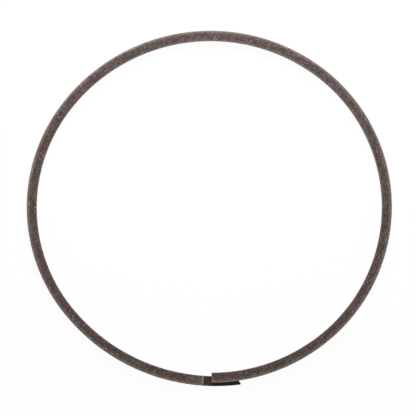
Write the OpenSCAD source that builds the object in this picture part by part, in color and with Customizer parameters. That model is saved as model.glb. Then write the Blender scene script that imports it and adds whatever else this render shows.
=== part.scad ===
// Piston seal ring with a step joint, lying flat as it springs when it is out of its groove.
// One slender ring, cut through at one place. Each end is halved in height, so that the
// lower tongue of one end runs under the upper tongue of the other.
// The origin is the middle of the free shape, on the plane that the ring lies on.
// X runs along the free ring's long way, Y along its short way, and the joint is at -Y.

/* [Ring] */
// Outside diameter of the free ring, the mean of its longest and shortest
free_d = 90.5; // [40:0.5:200]
// How much longer the free ring is than it is wide
oval = 3; // [0:0.1:6]
// Radial wall, from the inner to the outer face
wall = 2.5; // [1:0.1:5]
// Axial height, from one side face to the other
height = 2.4; // [1.5:0.1:8]

/* [Joint] */
// Length over which the two tongues lie on each other
lap = 7.4; // [3:0.1:9]
// Free gap between each tongue's tip and the other end's shoulder
gap = 1.9; // [0.5:0.1:3]
// Distance from the ring's short axis to the middle of the joint
joint_x = 2.9; // [-3.5:0.1:3.5]
// How far the end with the lower tongue springs out of the oval
spring_out = 0.75; // [0:0.05:1.5]
// How far the end with the upper tongue springs into the oval
spring_in = 0.15; // [0:0.05:0.5]
// Axial clearance between the two tongues
lap_clear = 0.1; // [0.05:0.05:0.3]
// Angle by which the lower tongue's tip is off square, its outer corner being the longer
lower_slant = 27; // [0:1:30]
// Angle by which the upper tongue's tip is off square, its outer corner being the longer
upper_slant = 2; // [0:1:30]

/* [Edges] */
// Radius on both edges of the outer face
outer_round = 0.3; // [0.1:0.05:0.6]
// Chamfer on both edges of the inner face
inner_break = 0.1; // [0.05:0.05:0.3]
// Chamfer where a side face meets a shoulder or a tip
cut_break = 0.15; // [0.05:0.05:0.3]

/* [Hidden] */

// Facets of a whole turn of the ring, and of a rounded edge
ring_fn = 240;
edge_fn = 24;

// Rounds a length to a thousandth, so that neighbouring arcs meet on the same face.
function fine(v) = round(v * 1000) / 1000;

// Half lengths of the middle line's long and short axes
half_long = (free_d + oval / 2 - wall) / 2;
half_short = (free_d - oval / 2 - wall) / 2;

// The free shape is an oval of four arcs, with a blunt end at +X and a sharper one at -X.
// Their centres are the corners of two triangles with sides of 3, 4 and 5 units that share
// their longest side, on the X axis. So neighbouring arcs meet on directions whose sine and
// cosine are 0.6 and 0.8, at blunt_turn and sharp_turn from the X axis.
unit = fine((half_long - half_short) / 1.4);
blunt_turn = 53.1301;
sharp_turn = 36.8699;
flank_r = fine(half_long + unit);
blunt_r = flank_r - 3 * unit;
sharp_r = flank_r - 4 * unit;
blunt_centre = [2 * unit, 0];
sharp_centre = [-3 * unit, 0];
top_centre = [0.2 * unit, -2.4 * unit];
bottom_centre = [0.2 * unit, 2.4 * unit];

// The bottom flank is cut through. The end with the lower tongue runs out from the sharp end
// on a wider arc, and the end with the upper tongue runs in from the blunt end on a tighter one.
wider = fine(spring_out / 0.4);
tighter = fine(spring_in / 0.2);
lower_r = flank_r + wider;
upper_r = flank_r - tighter;
lower_centre = bottom_centre + wider * [0.8, 0.6];
upper_centre = bottom_centre + tighter * [0.6, -0.8];

// Distance from the joint's middle to each tip and to each shoulder
tip_x = lap / 2;
shoulder_x = lap / 2 + gap;

tongue_h = (height - lap_clear) / 2;

// Size of the blocks that cut the ring, and the angle by which an arc overruns such a cut
reach = 2 * (lap + gap + wall);
overrun = 3;

// Cross-section, with the middle line at x = 0 and the outer face at +x
module section() {
    union() {
        polygon([
            [-wall / 2, inner_break],
            [-wall / 2 + inner_break, 0],
            [wall / 2 - outer_round, 0],
            [wall / 2 - outer_round, height],
            [-wall / 2 + inner_break, height],
            [-wall / 2, height - inner_break]
        ]);
        translate([0, outer_round])
            square([wall / 2, height - 2 * outer_round]);
        for (z = [outer_round, height - outer_round])
            translate([wall / 2 - outer_round, z])
                circle(r = outer_round, $fn = edge_fn);
    }
}

// A stretch of ring on an arc of middle radius r, swept from start by turn, clockwise if turn
// is negative. Its end face at start is the one that neighbouring stretches share.
module arc(r, start, turn) {
    rotate([0, 0, start])
        rotate_extrude(start = min(turn, 0), angle = abs(turn), $fn = ring_fn)
            translate([r, 0])
                section();
}

// The half of the blunt end, and of the sharp end, that lies above the X axis
module half_ends() {
    difference() {
        union() {
            translate(blunt_centre)
                arc(blunt_r, blunt_turn, -blunt_turn - overrun);
            translate(sharp_centre)
                rotate([0, 0, 90])
                    arc(sharp_r, blunt_turn, sharp_turn + overrun);
        }
        translate([-free_d, -reach, -height])
            cube([2 * free_d, reach, 3 * height]);
    }
}

// Prism that breaks an edge lying on the X axis, of a body that lies behind and below it. It
// runs past both of the faces that meet there.
module edge_cutter() {
    rotate([90, 0, 90])
        linear_extrude(2 * reach, center = true)
            polygon([
                [-2 * cut_break, cut_break],
                [cut_break, -2 * cut_break],
                [cut_break, cut_break]
            ]);
}

// One end of the ring, swept anticlockwise from start, with its lower half left standing as a
// tongue. The shoulder and the tip's outer corner lie at the angles given.
module ring_end(r, start, shoulder, tip, slant) {
    difference() {
        arc(r, start, tip + overrun - start);
        rotate([0, 0, shoulder])
            translate([r, 0, 0]) {
                translate([-reach, 0, tongue_h])
                    cube([2 * reach, reach, height]);
                translate([0, 0, height])
                    edge_cutter();
            }
        rotate([0, 0, tip])
            translate([r + wall / 2, 0, 0])
                rotate([0, 0, slant]) {
                    translate([-reach, 0, -height])
                        cube([2 * reach, reach, 3 * height]);
                    mirror([0, 0, 1])
                        edge_cutter();
                }
    }
}

// Angle at which an arc of radius r, whose lowest point is at 90 degrees, has gone x past it
function past_lowest(x, r) = 90 + asin(x / r);

// The end with the lower tongue comes in from the sharp end.
module lower_end() {
    from_lowest = joint_x - lower_centre[0];
    translate(lower_centre)
        rotate([0, 0, 180])
            ring_end(
                lower_r,
                sharp_turn,
                past_lowest(from_lowest - shoulder_x, lower_r),
                past_lowest(from_lowest + tip_x, lower_r),
                lower_slant
            );
}

// The end with the upper tongue comes in from the blunt end: the same end, turned over.
module upper_end() {
    from_lowest = upper_centre[0] - joint_x;
    translate([upper_centre[0], upper_centre[1], height])
        rotate([180, 0, 0])
            ring_end(
                upper_r,
                blunt_turn,
                past_lowest(from_lowest - shoulder_x, upper_r),
                past_lowest(from_lowest + tip_x, upper_r),
                upper_slant
            );
}

module seal_ring() {
    color([0.36, 0.31, 0.29])
        union() {
            half_ends();
            mirror([0, 1, 0])
                half_ends();
            translate(top_centre)
                arc(flank_r, blunt_turn, 90);
            lower_end();
            upper_end();
        }
}

seal_ring();
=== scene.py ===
"""Piston seal ring with a step joint, lying free on a white table."""

from math import asin, atan2, cos, pi, radians, sin, tan

import bmesh
import bpy
import numpy as np
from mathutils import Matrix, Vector, noise


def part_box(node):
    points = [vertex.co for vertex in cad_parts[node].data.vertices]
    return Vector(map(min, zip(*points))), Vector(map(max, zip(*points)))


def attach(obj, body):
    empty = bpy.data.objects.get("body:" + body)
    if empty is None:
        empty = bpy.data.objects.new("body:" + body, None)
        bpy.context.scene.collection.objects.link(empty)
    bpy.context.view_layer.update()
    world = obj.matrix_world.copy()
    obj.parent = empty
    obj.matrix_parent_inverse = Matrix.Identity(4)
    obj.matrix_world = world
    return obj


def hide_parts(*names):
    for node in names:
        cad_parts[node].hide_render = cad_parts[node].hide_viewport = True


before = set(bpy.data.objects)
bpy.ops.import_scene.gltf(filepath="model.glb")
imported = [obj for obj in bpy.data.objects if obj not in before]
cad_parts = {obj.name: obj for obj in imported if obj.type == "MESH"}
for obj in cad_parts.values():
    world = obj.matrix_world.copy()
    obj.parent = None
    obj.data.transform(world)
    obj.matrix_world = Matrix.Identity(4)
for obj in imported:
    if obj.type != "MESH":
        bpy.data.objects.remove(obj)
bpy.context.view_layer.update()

MM = 0.001
NODE = "seal_ring"
low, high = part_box(NODE)
middle = (low + high) / 2
height = high.z - low.z

# The ring's section: its radial wall, the radius of its outer edges and the inner ones' chamfer
WALL = 2.5 * MM
OUTER_ROUND = 0.3 * MM
INNER_BREAK = 0.1 * MM

# The step joint: the tongues' overlap, the free gap at each shoulder, the joint's middle and the
# clearance between the tongues
LAP = 7.4 * MM
GAP = 1.9 * MM
JOINT_X = 2.9 * MM
LAP_CLEAR = 0.1 * MM
# How far the end with the upper tongue springs into the oval
SPRING_IN = 0.15 * MM
# Angles by which the tips are off square, their outer corners being the longer
LOWER_SLANT = radians(27)
UPPER_SLANT = radians(2)
# Chamfer where a side face meets a shoulder or a tip
CUT_BREAK = 0.15 * MM
# Wear on the lower tongue's sharp outer corner, as a radius seen from above
CORNER_ROUND = 0.2 * MM

# The mesh: the step between its stations along the ring, and its columns, as shares of the wall
# from the inner face. They are closer together at the outer face, where the edges are round.
STEP = 0.225 * MM
COLUMNS = np.append(np.linspace(0, 0.9, 10), [0.945, 0.98, 1])
ACROSS = len(COLUMNS) - 1
# Heights of the rows from a side face to the end of the outer edge's rounding, and the number
# of the row where a cut's chamfer ends
EDGE_ROWS = [MM * z for z in (0, 0.02, 0.05, 0.1, 0.15, 0.22, 0.3)]
BREAK_ROW = EDGE_ROWS.index(CUT_BREAK)
# Steps between rows from the rounding to a tongue's cut
TONGUE_STEPS = 5


# ---------------------------------------------------------------- the middle line

class Arc:
    """A stretch of the middle line, run clockwise from one angle down to another."""

    def __init__(self, centre, radius, start, end):
        self.centre = centre
        self.radius = radius
        self.start = start
        self.length = radius * (start - end)


def past_lowest(x, centre, radius):
    """The angle by which an arc is past its lowest point, towards +X, where it passes x."""
    return asin((x - centre[0]) / radius)


def middle_line():
    """The five arcs, from the lower tongue's tip round to the upper tongue's.

    The free shape is an oval of four arcs, with a blunt end at +X and a sharper one at -X.
    Their centres are the corners of two triangles with sides of 3, 4 and 5 units that share
    their longest side, on the X axis. So neighbouring arcs meet on directions whose sine and
    cosine are 0.6 and 0.8. The near arc is cut through, and its two ends spring apart.
    """
    half_long = (high.x - low.x) / 2 - WALL / 2
    half_short = high.y - WALL / 2
    # The middle line's half lengths differ by 1.4 units.
    unit = (half_long - half_short) / 1.4
    blunt_turn = atan2(4, 3)
    sharp_turn = atan2(3, 4)
    flank_r = half_long + unit
    # The lower end springs out to the box's near side on a wider arc, and the upper one springs
    # in on a tighter arc.
    wider = (-low.y - WALL / 2 - half_short) / 0.4
    tighter = SPRING_IN / 0.2
    lower_r = flank_r + wider
    upper_r = flank_r - tighter
    lower_centre = (0.2 * unit + 0.8 * wider, 2.4 * unit + 0.6 * wider)
    upper_centre = (0.2 * unit + 0.6 * tighter, 2.4 * unit - 0.8 * tighter)
    lower_tip = 1.5 * pi + past_lowest(JOINT_X + LAP / 2, lower_centre, lower_r)
    upper_tip = -pi / 2 + past_lowest(JOINT_X - LAP / 2, upper_centre, upper_r)
    return [
        Arc(lower_centre, lower_r, lower_tip, pi + sharp_turn),
        Arc((-3 * unit, 0), flank_r - 4 * unit, pi + sharp_turn, pi - sharp_turn),
        Arc((0.2 * unit, -2.4 * unit), flank_r, pi - sharp_turn, blunt_turn),
        Arc((2 * unit, 0), flank_r - 3 * unit, blunt_turn, -blunt_turn),
        Arc(upper_centre, upper_r, -blunt_turn, upper_tip),
    ]


ARCS = middle_line()
LENGTH = sum(arc.length for arc in ARCS)


def swept(s, u, z):
    """Points at a distance s along the middle line, u outside it and z up."""
    lengths = [arc.length for arc in ARCS]
    ends = np.cumsum(lengths)
    begins = ends - lengths
    which = np.clip(np.searchsorted(ends, s), 0, len(ARCS) - 1)
    radius = np.array([arc.radius for arc in ARCS])[which]
    centre = np.array([arc.centre for arc in ARCS])[which]
    angle = np.array([arc.start for arc in ARCS])[which] - (s - begins[which]) / radius
    x = centre[..., 0] + (radius + u) * np.cos(angle)
    y = centre[..., 1] + (radius + u) * np.sin(angle)
    return np.stack([x, y, z], axis=-1)


def shoulders():
    """Distances along the middle line to the left shoulder and to the right one."""
    lower, upper = ARCS[0], ARCS[-1]
    lower_tip = past_lowest(JOINT_X + LAP / 2, lower.centre, lower.radius)
    left_shoulder = past_lowest(JOINT_X - LAP / 2 - GAP, lower.centre, lower.radius)
    right_shoulder = past_lowest(JOINT_X + LAP / 2 + GAP, upper.centre, upper.radius)
    upper_tip = past_lowest(JOINT_X - LAP / 2, upper.centre, upper.radius)
    left = lower.radius * (lower_tip - left_shoulder)
    right = LENGTH - upper.radius * (right_shoulder - upper_tip)
    return left, right


# The shoulders, as distances along the middle line, then the stations that lie there and at the
# upper tongue's tip
LEFT, RIGHT = shoulders()
LEFT_I = round(LEFT / STEP)
RIGHT_I = LEFT_I + round((RIGHT - LEFT) / STEP)
LAST_I = RIGHT_I + round((LENGTH - RIGHT) / STEP)


# ---------------------------------------------------------------- the section

def levels():
    """Heights of the section's rows, and the number of the row at the lower tongue's cut."""
    tongue = (height - LAP_CLEAR) / 2
    lower = EDGE_ROWS + list(np.linspace(EDGE_ROWS[-1], tongue, TONGUE_STEPS + 1)[1:])
    return np.array(lower + [height - z for z in reversed(lower)]), len(lower) - 1


LEVELS, LOWER_CUT = levels()
UPPER_CUT = LOWER_CUT + 1
TOP = len(LEVELS) - 1


def from_side(z):
    """Distance from the nearer side face."""
    return np.minimum(z, height - z)


def across(z, share):
    """The place in the wall of a share from its inner face to its outer one, at height z."""
    depth = from_side(z)
    inner = -WALL / 2 + np.clip(INNER_BREAK - depth, 0, None)
    fall = OUTER_ROUND - np.clip(depth, 0, OUTER_ROUND)
    outer = WALL / 2 - OUTER_ROUND + np.sqrt(np.clip(OUTER_ROUND**2 - fall**2, 0, None))
    return inner + share * (outer - inner)


# ---------------------------------------------------------------- the ring's mesh

def worn_corner(depth):
    """How far wear sets the lower tongue's tip back, at a depth in from its outer face."""
    # The rounding starts this far from the sharp corner, on the tip's face and the outer face.
    run = CORNER_ROUND / tan((pi / 2 - LOWER_SLANT) / 2)
    bulge = np.sqrt(np.clip(CORNER_ROUND**2 - (CORNER_ROUND - depth) ** 2, 0, None))
    return np.where(depth < run * cos(LOWER_SLANT), run - bulge - depth * tan(LOWER_SLANT), 0)


def along(i, u, z):
    """Distance along the middle line of station i, where the cuts set it at each u and z."""
    # What turns a length at u into one on the middle line
    lower_share = ARCS[0].radius / (ARCS[0].radius + u)
    upper_share = ARCS[-1].radius / (ARCS[-1].radius + u)
    # How far the chamfers set a cut back at its bottom edge and at its top edge
    bottom = np.clip(CUT_BREAK - z, 0, None)
    top = np.clip(CUT_BREAK - (height - z), 0, None)
    inward = WALL / 2 - u
    lower_tip = inward * tan(LOWER_SLANT) + bottom / cos(LOWER_SLANT)
    lower_tip = (lower_tip + worn_corner(across(z, 1) - u)) * lower_share
    upper_tip = inward * tan(UPPER_SLANT) + top / cos(UPPER_SLANT)
    upper_tip = LENGTH - upper_tip * upper_share
    lower_tongue = lower_tip + (LEFT - lower_tip) * i / LEFT_I
    body = LEFT + (RIGHT - LEFT) * (i - LEFT_I) / (RIGHT_I - LEFT_I)
    upper_tongue = RIGHT + (upper_tip - RIGHT) * (i - RIGHT_I) / (LAST_I - RIGHT_I)
    return np.select(
        [i < LEFT_I, i == LEFT_I, i < RIGHT_I, i == RIGHT_I],
        [lower_tongue, LEFT + top * lower_share, body, RIGHT - bottom * upper_share],
        upper_tongue,
    )


def key(i, k, j):
    """A grid point's number: station i, row k and column j."""
    return (i * (TOP + 1) + k) * (ACROSS + 1) + j


def patch(i, k, j):
    """Quads over a patch of the grid. One of i, k and j is a number, and two are ranges."""
    fixed = [axis for axis, value in enumerate((i, k, j)) if np.isscalar(value)][0]
    spans = [np.arange(*value) for value in (i, k, j) if not np.isscalar(value)]
    a, b = (part.ravel() for part in np.meshgrid(*spans, indexing="ij"))
    corners = []
    for da, db in ((0, 0), (1, 0), (1, 1), (0, 1)):
        places = [a + da, b + db]
        places.insert(fixed, np.full_like(a, (i, k, j)[fixed]))
        corners.append(key(*places))
    return np.stack(corners, axis=-1)


# The finishes, in the order of the ring's materials
SIDE, OUTER, INNER, CUT = range(4)


def patches():
    """Every patch of the ring's skin, with the finish that it has."""
    columns = (0, ACROSS)
    # The stations of the lower tongue, the whole section and the upper tongue, and their rows
    runs = (
        ((0, LEFT_I), 0, LOWER_CUT),
        ((LEFT_I, RIGHT_I), 0, TOP),
        ((RIGHT_I, LAST_I), UPPER_CUT, TOP),
    )
    for i, bottom, top in runs:
        yield patch(i, bottom, columns), SIDE if bottom == 0 else CUT
        yield patch(i, top, columns), SIDE if top == TOP else CUT
        yield patch(i, (bottom, top), 0), INNER
        yield patch(i, (bottom, top), ACROSS), OUTER
    # The lower tip, the right shoulder, the left shoulder and the upper tip: each one's station,
    # its row at the cut and its row at a side face. Its chamfer has the side face's finish.
    ends = (
        (0, LOWER_CUT, 0),
        (RIGHT_I, UPPER_CUT, 0),
        (LEFT_I, LOWER_CUT, TOP),
        (LAST_I, UPPER_CUT, TOP),
    )
    for i, cut, side in ends:
        broken = abs(side - BREAK_ROW)
        yield patch(i, (min(cut, broken), max(cut, broken)), columns), CUT
        yield patch(i, (min(side, broken), max(side, broken)), columns), SIDE


def skin():
    """Points, quads, finishes and each point's place: along the ring, across the wall and up."""
    quads, finishes = [], []
    for made, finish in patches():
        quads.append(made)
        finishes.append(np.full(len(made), finish))
    quads = np.concatenate(quads)
    used, quads = np.unique(quads, return_inverse=True)
    quads = quads.reshape(-1, 4)
    i, rest = np.divmod(used, (TOP + 1) * (ACROSS + 1))
    k, j = np.divmod(rest, ACROSS + 1)
    z = LEVELS[k]
    u = across(z, COLUMNS[j])
    s = along(i, u, z)
    return swept(s, u, z), quads, np.concatenate(finishes), np.stack([s, u, z], axis=-1)


# The moulded grain: the sizes of its bumps, the fine ones' share, their shift in the noise, and
# its depth where the noise is 1, with the noise held within a limit either way
COARSE_GRAIN = 1.5 * MM
FINE_GRAIN = 0.7 * MM
FINE_SHARE = 0.6
FINE_SHIFT = Vector((7, 3, 1))
GRAIN_DEPTH = 0.006 * MM
GRAIN_LIMIT = 1.3

# Wear on the outer edges: its depth, how far it reaches from them, the length of its worn
# stretches, and the line through the noise that they come from
WEAR_DEPTH = 0.03 * MM
WEAR_REACH = 1.5 * OUTER_ROUND
WEAR_STRETCH = 3 * MM
WEAR_LINE = (4.2, 0.5)


def relief(points, places):
    """How far each point lies under the true surface: a moulded grain, and worn outer edges."""
    grain = np.array([
        noise.noise(p / COARSE_GRAIN) + FINE_SHARE * noise.noise(p / FINE_GRAIN + FINE_SHIFT)
        for p in map(Vector, points)
    ])
    grain = GRAIN_LIMIT - np.clip(grain, -GRAIN_LIMIT, GRAIN_LIMIT)
    wear = np.array([noise.noise(Vector((s / WEAR_STRETCH, *WEAR_LINE))) for s in places[:, 0]])
    outside = np.clip((places[:, 1] - WALL / 2 + WEAR_REACH) / OUTER_ROUND, 0, 1)
    edge = outside * np.clip(1 - from_side(places[:, 2]) / WEAR_REACH, 0, 1)
    return GRAIN_DEPTH * grain + WEAR_DEPTH * edge * np.clip(wear, 0, 1)


def smooth(value, start, end):
    """0 up to start and 1 from end, with a smooth rise between them."""
    share = np.clip((value - start) / (end - start), 0, 1)
    return share * share * (3 - 2 * share)


# Paleness at the edges, part wear and part painted highlight: how pale an edge is, and the
# distances from it between which that fades
OUTER_WEAR_AND_HIGHLIGHT = (1, 0.1 * MM, 1 * MM)
OUTER_RIM = (0.9, 0.1 * MM, 0.4 * MM)
# The inner rim's paleness is part wear and part a painted reflection of the white table
INNER_RIM = (0.6, 0.05 * MM, 0.5 * MM)
# The pale lines right at the shoulders' and the tips' edges are painted highlights
SHOULDER_RIM = (2.1, 0.25 * MM, 0.7 * MM)
SHOULDER_RUB = (0.5, 1.5 * MM, 4.5 * MM)
TIP_RIM = (0.5, 0.2 * MM, 0.7 * MM)
# How far from a side face the paleness near a shoulder reaches down the walls
SHOULDER_REACH = 0.6 * MM
# Depth from a side face at which a wall is no longer part of its rim, and what the rim's
# paleness is multiplied by from there, on the outer wall and on the inner one
RIM_DEPTH = 2.5 * OUTER_ROUND
OUTER_WALL_SHARE = 0.25
INNER_WALL_SHARE = 1.083
# The rims' paleness is uneven towards one side: its direction, how sharply that falls away from
# there, how much paler the outer rim is made, and how much less pale the inner one
UNEVEN_TURN = radians(140)
UNEVEN_POWER = 4
OUTER_MORE = 0.35
INNER_LESS = 0.8


def pale_band(distance, edge):
    """Paleness at a distance from an edge."""
    palest, start, end = edge
    return palest * (1 - smooth(distance, start, end))


def one_side_lean(points):
    """1 in the direction where the rims' paleness leans most, 0 a quarter turn from it."""
    turn = np.arctan2(points[:, 1], points[:, 0]) - UNEVEN_TURN
    return np.clip(np.cos(turn), 0, 1) ** UNEVEN_POWER


def paleness(points, places):
    """How pale each point is, at the rims and at the cuts' edges: 0 is not at all. Part is wear and
    part painted highlight.
    """
    s, u, z = places.T
    down_wall = smooth(from_side(z), OUTER_ROUND, RIM_DEPTH)
    uneven = one_side_lean(points)
    # Wear and a painted highlight on the outer rim, and wear and a painted reflection on the inner
    # one
    outer = pale_band(WALL / 2 - u, OUTER_WEAR_AND_HIGHLIGHT) + pale_band(WALL / 2 - u, OUTER_RIM)
    outer *= (1 + OUTER_MORE * uneven) * (1 + (OUTER_WALL_SHARE - 1) * down_wall)
    inner = pale_band(WALL / 2 + u, INNER_RIM)
    inner *= (1 - INNER_LESS * uneven) * (1 + (INNER_WALL_SHARE - 1) * down_wall)
    # The left shoulder and the upper tip are in the ring's upper half, the others in its lower.
    above = z > height / 2
    to_shoulder = abs(s - np.where(above, LEFT, RIGHT))
    to_tip = np.where(above, LENGTH - s, s)
    near_side = 1 - smooth(from_side(z), 0, SHOULDER_REACH)
    return np.maximum.reduce([
        outer,
        inner,
        pale_band(to_shoulder, SHOULDER_RIM),
        pale_band(to_shoulder, SHOULDER_RUB) * near_side,
        pale_band(to_tip, TIP_RIM),
    ])


# The colour leans to olive up to one y, and to blue beyond another: a painted colour cast of the
# light, bluer at the ring's far side
OLIVE_TO_Y = 10 * MM
BLUE_FROM_Y = 36 * MM


def light_cast_share(points):
    """How far the painted colour cast of the light leans to olive at each point: least at the
    ring's far side.
    """
    return 1 - smooth(points[:, 1], OLIVE_TO_Y, BLUE_FROM_Y)


# Edges that turn by more than this are sharp
SHARP = radians(30)


def build_ring():
    """The ring's mesh: its skin, sunk by its relief, with what the materials need at each point."""
    points, quads, finishes, places = skin()
    mesh = bpy.data.meshes.new("ring")
    mesh.from_pydata(points.tolist(), [], quads.tolist())
    mesh.polygons.foreach_set("material_index", finishes.astype(np.int32))
    attribute = mesh.attributes.new("place", "FLOAT_VECTOR", "POINT")
    attribute.data.foreach_set("vector", places.astype(np.float32).ravel())
    # pale holds the edges' paleness, part wear and part painted highlight; warm holds a painted
    # colour cast of the light
    for name, values in (("pale", paleness(points, places)), ("warm", light_cast_share(points))):
        attribute = mesh.attributes.new(name, "FLOAT", "POINT")
        attribute.data.foreach_set("value", values.astype(np.float32))
    bm = bmesh.new()
    bm.from_mesh(mesh)
    bmesh.ops.recalc_face_normals(bm, faces=bm.faces)
    for vertex, depth in zip(bm.verts, relief(points, places)):
        vertex.co -= vertex.normal * depth
    for face in bm.faces:
        face.smooth = True
    for edge in bm.edges:
        edge.smooth = edge.calc_face_angle(0) < SHARP
    bm.to_mesh(mesh)
    bm.free()
    ring = bpy.data.objects.new("ring", mesh)
    bpy.context.scene.collection.objects.link(ring)
    return ring


# ---------------------------------------------------------------- materials

# How many times as long as wide a blotch of the mottling is, and a blotch of its tints
BLOTCH_SLENDER = 1.45
TINT_SLENDER = 1.8


class Nodes:
    """The node tree of a material or the world, with a short way to add nodes and join them."""

    def __init__(self, owner):
        owner.use_nodes = True
        self.tree = owner.node_tree
        self.tree.nodes.clear()

    def add(self, kind, settings=None, **inputs):
        """A new node, with its settings and its inputs."""
        made = self.tree.nodes.new(kind)
        for name, value in (settings or {}).items():
            setattr(made, name, value)
        for name, value in inputs.items():
            self.feed(made, name, value)
        return made

    def feed(self, made, name, value):
        """Set a node's input, or join a socket to it. A name such as _2 is an input's number."""
        socket = made.inputs[int(name[1:]) if name.startswith("_") else name]
        if isinstance(value, bpy.types.NodeSocket):
            self.tree.links.new(value, socket)
        else:
            socket.default_value = value

    def math(self, operation, a, b=0.0, c=0.0):
        return self.add("ShaderNodeMath", {"operation": operation}, _0=a, _1=b, _2=c).outputs[0]

    def remap(self, value, start, end, to_start, to_end):
        """A value from start to end turned smoothly into one from to_start to to_end."""
        made = self.add("ShaderNodeMapRange", {"interpolation_type": "SMOOTHSTEP"})
        for name, given in (
            ("Value", value), ("From Min", start), ("From Max", end),
            ("To Min", to_start), ("To Max", to_end),
        ):
            self.feed(made, name, given)
        return made.outputs["Result"]

    def attribute(self, name, output):
        return self.add("ShaderNodeAttribute", {"attribute_name": name}).outputs[output]

    def seen(self):
        """1 where the camera, a reflection or a transmission looks, and 0 where light falls."""
        path = self.add("ShaderNodeLightPath").outputs
        looks = self.math("MAXIMUM", path["Is Camera Ray"], path["Is Glossy Ray"])
        return self.math("MAXIMUM", looks, path["Is Transmission Ray"])

    def times(self, vector, by):
        """A vector or a colour multiplied by another, channel by channel."""
        made = self.add("ShaderNodeVectorMath", {"operation": "MULTIPLY"}, _0=vector, _1=by)
        return made.outputs[0]

    def scaled(self, vector, by):
        """A vector or a colour multiplied by a number."""
        made = self.add("ShaderNodeVectorMath", {"operation": "SCALE"}, _0=vector, _3=by)
        return made.outputs[0]

    def mix(self, share, a, b):
        """A colour that is a where share is 0 and b where it is 1."""
        made = self.add("ShaderNodeMix", {"data_type": "RGBA"}, _0=share, _6=a, _7=b)
        return made.outputs[2]

    def blotches(self, size, detail, seed, slender=BLOTCH_SLENDER):
        """Noise whose blotches are about size long, in metres, and less by slender across."""
        place = self.times(self.attribute("place", "Vector"), (1, slender, slender))
        made = self.add(
            "ShaderNodeTexNoise", {"noise_dimensions": "4D"},
            Vector=place, W=seed, Scale=1 / size, Detail=detail,
        )
        return made.outputs["Fac"]


def colour(red, green, blue):
    """A colour from screen values of 0 to 255, by the sRGB curve."""
    def linear(c):
        c /= 255
        return c / 12.92 if c <= 0.04045 else ((c + 0.055) / 1.055) ** 2.4
    return (linear(red), linear(green), linear(blue), 1.0)


# The tones that the plastic is mottled with, on its moulded faces and on the darker cut ones.
# The pale tone of the edges stands for wear and for painted highlights.
FACE_TONE = {
    "grey": (88, 75, 72),
    "plum": (93, 73, 73),
    "olive": (88, 76, 65),
    "red": (95, 74, 65),
    "speck": (146, 138, 138),
    "worn": (159, 150, 145),
}
CUT_TONE = {
    "grey": (73, 61, 56),
    "plum": (79, 60, 56),
    "olive": (73, 62, 53),
    "red": (79, 61, 53),
    "speck": (98, 87, 81),
    "worn": (84, 73, 67),
}

# What the colour is multiplied by at the ring's far side, and over the rest of it: a painted
# colour cast of the light
FAR_TINT = (1, 1, 1.04, 1)
NEAR_TINT = (1, 1, 0.955, 1)

# Sizes of the mottling's blotches: the tints, the slow changes in tone, the grains, the pale
# specks and the unevenness of the edges' paleness, which is part wear and part painted highlight
TINT_SIZE = 3.0 * MM
BROAD_SIZE = 4 * MM
GRAIN_SIZE = 0.61 * MM
SPECK_SIZE = 0.62 * MM
UNEVEN_PALE_SIZE = 1.2 * MM

# The noise's values between which each of these goes from its least to its most
WARM_SPAN = (0.36, 0.64)
YELLOW_SPAN = (0.37, 0.63)
BROAD_SPAN = (0.35, 0.65)
GRAIN_SPAN = (0.32, 0.78)
SPECK_SPAN = (0.6, 0.74)
UNEVEN_PALE_SPAN = (0.35, 0.65)

# What the slow changes in tone multiply the colour by, how far a speck covers it, and what the
# unevenness multiplies the edges' paleness by, which is part wear and part painted highlight
BROAD_LEVELS = (0.92, 1.08)
SPECK_COVERS = 0.9
UNEVEN_PALE_LEVELS = (0.55, 1.0)

# At full contrast, how much the darkest grains darken the colour and the brightest lighten it
GRAIN_DARKENS = 0.6
GRAIN_LIGHTENS = 1.4
# How much red a grain loses, and how much blue it gains, as it gets brighter
RED_LOSS = 0.08
BLUE_GAIN = 0.11

# How much the edges' paleness, part wear and part painted highlight, lightens the colour, and how
# far it brings it to the pale edge tone
WEAR_AND_HIGHLIGHT_LIGHTENS = 0.5
WEAR_AND_HIGHLIGHT_TINTS = 0.42


def grain_tint(level):
    """What a grain's colour is multiplied by: the brighter the grain, the less brown it is."""
    red = level * (1 - RED_LOSS * (level - 1))
    blue = level * (1 + BLUE_GAIN * (level - 1))
    return (red, level, blue, 1.0)


def tints(nodes, tone):
    """The plastic's brown-grey, mottled warm and cool."""
    warm = nodes.blotches(TINT_SIZE, detail=5, seed=38, slender=TINT_SLENDER)
    warm = nodes.remap(warm, *WARM_SPAN, 0, 1)
    yellow = nodes.blotches(TINT_SIZE, detail=5, seed=133, slender=TINT_SLENDER)
    yellow = nodes.remap(yellow, *YELLOW_SPAN, 0, 1)
    cool = nodes.mix(warm, colour(*tone["grey"]), colour(*tone["plum"]))
    earthy = nodes.mix(warm, colour(*tone["olive"]), colour(*tone["red"]))
    return nodes.mix(yellow, cool, earthy)


def worn(nodes, base, tone):
    """The base colour, paler at the edges: part wear, part painted highlight and painted
    reflection.
    """
    uneven = nodes.remap(nodes.blotches(UNEVEN_PALE_SIZE, detail=2, seed=6), *UNEVEN_PALE_SPAN, *UNEVEN_PALE_LEVELS)
    wear = nodes.math("MULTIPLY", nodes.attribute("pale", "Fac"), uneven)
    base = nodes.scaled(base, nodes.math("MULTIPLY_ADD", wear, WEAR_AND_HIGHLIGHT_LIGHTENS, 1.0))
    return nodes.mix(nodes.math("MULTIPLY", wear, WEAR_AND_HIGHLIGHT_TINTS), base, colour(*tone["worn"]))


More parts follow.
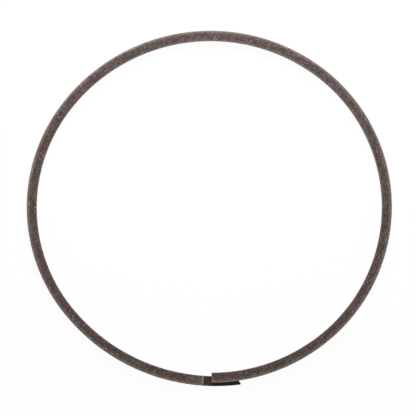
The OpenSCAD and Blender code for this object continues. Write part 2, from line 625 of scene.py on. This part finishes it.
def mottled(nodes, tone, contrast):
    """The filled plastic's colour: its tints, with fine grains, pale specks and wear."""
    base = tints(nodes, tone)
    fine = nodes.remap(nodes.blotches(GRAIN_SIZE, detail=2, seed=3), *GRAIN_SPAN, 0, 1)
    darkest = grain_tint(1 - GRAIN_DARKENS * contrast)
    brightest = grain_tint(1 + GRAIN_LIGHTENS * contrast)
    base = nodes.times(base, nodes.mix(fine, darkest, brightest))
    # A painted colour cast of the light: bluer at the ring's far side, warmer nearer
    base = nodes.times(base, nodes.mix(nodes.attribute("warm", "Fac"), FAR_TINT, NEAR_TINT))
    broad = nodes.remap(nodes.blotches(BROAD_SIZE, detail=1, seed=4), *BROAD_SPAN, *BROAD_LEVELS)
    base = nodes.scaled(base, broad)
    specks = nodes.remap(nodes.blotches(SPECK_SIZE, detail=1, seed=5), *SPECK_SPAN, 0, SPECK_COVERS)
    base = nodes.mix(specks, base, colour(*tone["speck"]))
    return worn(nodes, base, tone)


# Roughness varies by this much either way, in blotches of this size, over this span of the noise
ROUGHNESS_SPREAD = 0.07
ROUGHNESS_SIZE = 0.9 * MM
ROUGHNESS_SPAN = (0.3, 0.7)


def surface(name, tone, contrast, roughness, specular, grain, depth):
    """A finished material: its mottled colour, its roughness about a mean, and a fine grain."""
    material = bpy.data.materials.new(name)
    nodes = Nodes(material)
    shader = nodes.add("ShaderNodeBsdfPrincipled")
    nodes.feed(shader, "Base Color", mottled(nodes, tone, contrast))
    rough = nodes.remap(
        nodes.blotches(ROUGHNESS_SIZE, detail=2, seed=11),
        *ROUGHNESS_SPAN, roughness - ROUGHNESS_SPREAD, roughness + ROUGHNESS_SPREAD,
    )
    nodes.feed(shader, "Roughness", rough)
    nodes.feed(shader, "Specular IOR Level", specular)
    bump = nodes.add("ShaderNodeBump", Distance=depth, Strength=1.0)
    nodes.feed(bump, "Height", nodes.blotches(grain, detail=3, seed=21))
    nodes.feed(shader, "Normal", bump.outputs["Normal"])
    output = nodes.add("ShaderNodeOutputMaterial")
    nodes.feed(output, "Surface", shader.outputs[0])
    return material


def side_material():
    return surface(
        "side_faces", FACE_TONE, contrast=0.67,
        roughness=0.62, specular=0.22, grain=0.5 * MM, depth=0.02 * MM,
    )


def outer_material():
    return surface(
        "outer_face", FACE_TONE, contrast=0.3,
        roughness=0.75, specular=0.2, grain=0.4 * MM, depth=0.01 * MM,
    )


def inner_material():
    return surface(
        "inner_face", FACE_TONE, contrast=0.4,
        roughness=0.55, specular=0.3, grain=0.4 * MM, depth=0.015 * MM,
    )


def cut_material():
    return surface(
        "cut_faces", CUT_TONE, contrast=0.5,
        roughness=0.62, specular=0.1, grain=0.3 * MM, depth=0.01 * MM,
    )


# ---------------------------------------------------------------- the table, light and camera

# The table: half its side in metres, how white it is to the light, how bright it glows to the
# camera, and how much of the light and shadow on it shows there
TABLE_HALF = 3.0
TABLE_WHITE = 0.9
TABLE_GLOW = 0.96
TABLE_SHADED = 0.06

# The light that comes from all round
WORLD_LIGHT = 0.06

# The square lamps: name, place from the ring's middle and side in metres, and power in watts
SOFTBOXES = (
    ("far_softbox", (0.01, 0.2, 0.15), 0.16, 0.67),
    ("right_softbox", (0.36, 0.0, 0.1), 0.18, 0.27),
    ("left_softbox", (-0.36, 0.0, 0.1), 0.18, 0.23),
    ("near_softbox", (0.0, -0.36, 0.03), 0.06, 0.54),
)

# The camera: the width that it sees at the ring, its distance and direction from it, and the
# point that it aims at, from the middle of the box's top
VIEW_WIDTH = 104.7 * MM
VIEW_DISTANCE = 1.0
VIEW_ELEVATION = radians(86)
VIEW_AZIMUTH = radians(-1.7)
VIEW_AIM = Vector((-0.34, -0.05, 0)) * MM


def table_material():
    """White to the camera and in reflections, with a little of the light and shadow on it."""
    material = bpy.data.materials.new("white_table")
    nodes = Nodes(material)
    lit = nodes.add("ShaderNodeBsdfDiffuse", Color=(TABLE_WHITE, TABLE_WHITE, TABLE_WHITE, 1))
    glow = nodes.add("ShaderNodeEmission", Color=(1, 1, 1, 1), Strength=TABLE_GLOW)
    faint = nodes.add("ShaderNodeBsdfDiffuse", Color=(TABLE_SHADED, TABLE_SHADED, TABLE_SHADED, 1))
    shown = nodes.add("ShaderNodeAddShader", _0=glow.outputs[0], _1=faint.outputs[0])
    mixed = nodes.add(
        "ShaderNodeMixShader", _0=nodes.seen(), _1=lit.outputs[0], _2=shown.outputs[0],
    )
    output = nodes.add("ShaderNodeOutputMaterial")
    nodes.feed(output, "Surface", mixed.outputs[0])
    return material


def build_floor():
    """The table's flat top, which the ring lies on."""
    mesh = bpy.data.meshes.new("table")
    bm = bmesh.new()
    bmesh.ops.create_grid(bm, x_segments=1, y_segments=1, size=TABLE_HALF)
    bm.to_mesh(mesh)
    bm.free()
    floor = bpy.data.objects.new("table", mesh)
    floor.location = (middle.x, middle.y, low.z)
    bpy.context.scene.collection.objects.link(floor)
    mesh.materials.append(table_material())
    return floor


def build_world():
    """A dim even light, and white to the camera and in reflections."""
    world = bpy.data.worlds.new("studio")
    bpy.context.scene.world = world
    nodes = Nodes(world)
    level = nodes.remap(nodes.seen(), 0, 1, WORLD_LIGHT, 1)
    background = nodes.add("ShaderNodeBackground", Strength=level)
    output = nodes.add("ShaderNodeOutputWorld")
    nodes.feed(output, "Surface", background.outputs[0])


def add_softbox(name, place, side, power):
    """A square lamp at a place from the ring's middle, turned to face it."""
    data = bpy.data.lights.new(name, "AREA")
    data.size = side
    data.energy = power
    lamp = bpy.data.objects.new(name, data)
    lamp.location = middle + Vector(place)
    lamp.rotation_mode = "QUATERNION"
    lamp.rotation_quaternion = Vector(place).to_track_quat("Z", "Y")
    lamp.visible_camera = False
    bpy.context.scene.collection.objects.link(lamp)


def build_camera():
    """The camera, nearly straight above the ring."""
    data = bpy.data.cameras.new("camera")
    data.sensor_width = 36
    data.lens = data.sensor_width * VIEW_DISTANCE / VIEW_WIDTH
    data.clip_start = 0.01
    data.clip_end = 20
    camera = bpy.data.objects.new("camera", data)
    back = Vector((
        sin(VIEW_AZIMUTH) * cos(VIEW_ELEVATION),
        -cos(VIEW_AZIMUTH) * cos(VIEW_ELEVATION),
        sin(VIEW_ELEVATION),
    ))
    aim = Vector((middle.x, middle.y, high.z)) + VIEW_AIM
    camera.location = aim + back * VIEW_DISTANCE
    camera.rotation_mode = "QUATERNION"
    camera.rotation_quaternion = back.to_track_quat("Z", "Y")
    bpy.context.scene.collection.objects.link(camera)
    bpy.context.scene.camera = camera


ring = build_ring()
for make in (side_material, outer_material, inner_material, cut_material):
    ring.data.materials.append(make())
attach(ring, "root")
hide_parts(NODE)

floor = build_floor()
build_world()
for softbox in SOFTBOXES:
    add_softbox(*softbox)
build_camera()
bpy.context.scene.view_settings.view_transform = "Standard"
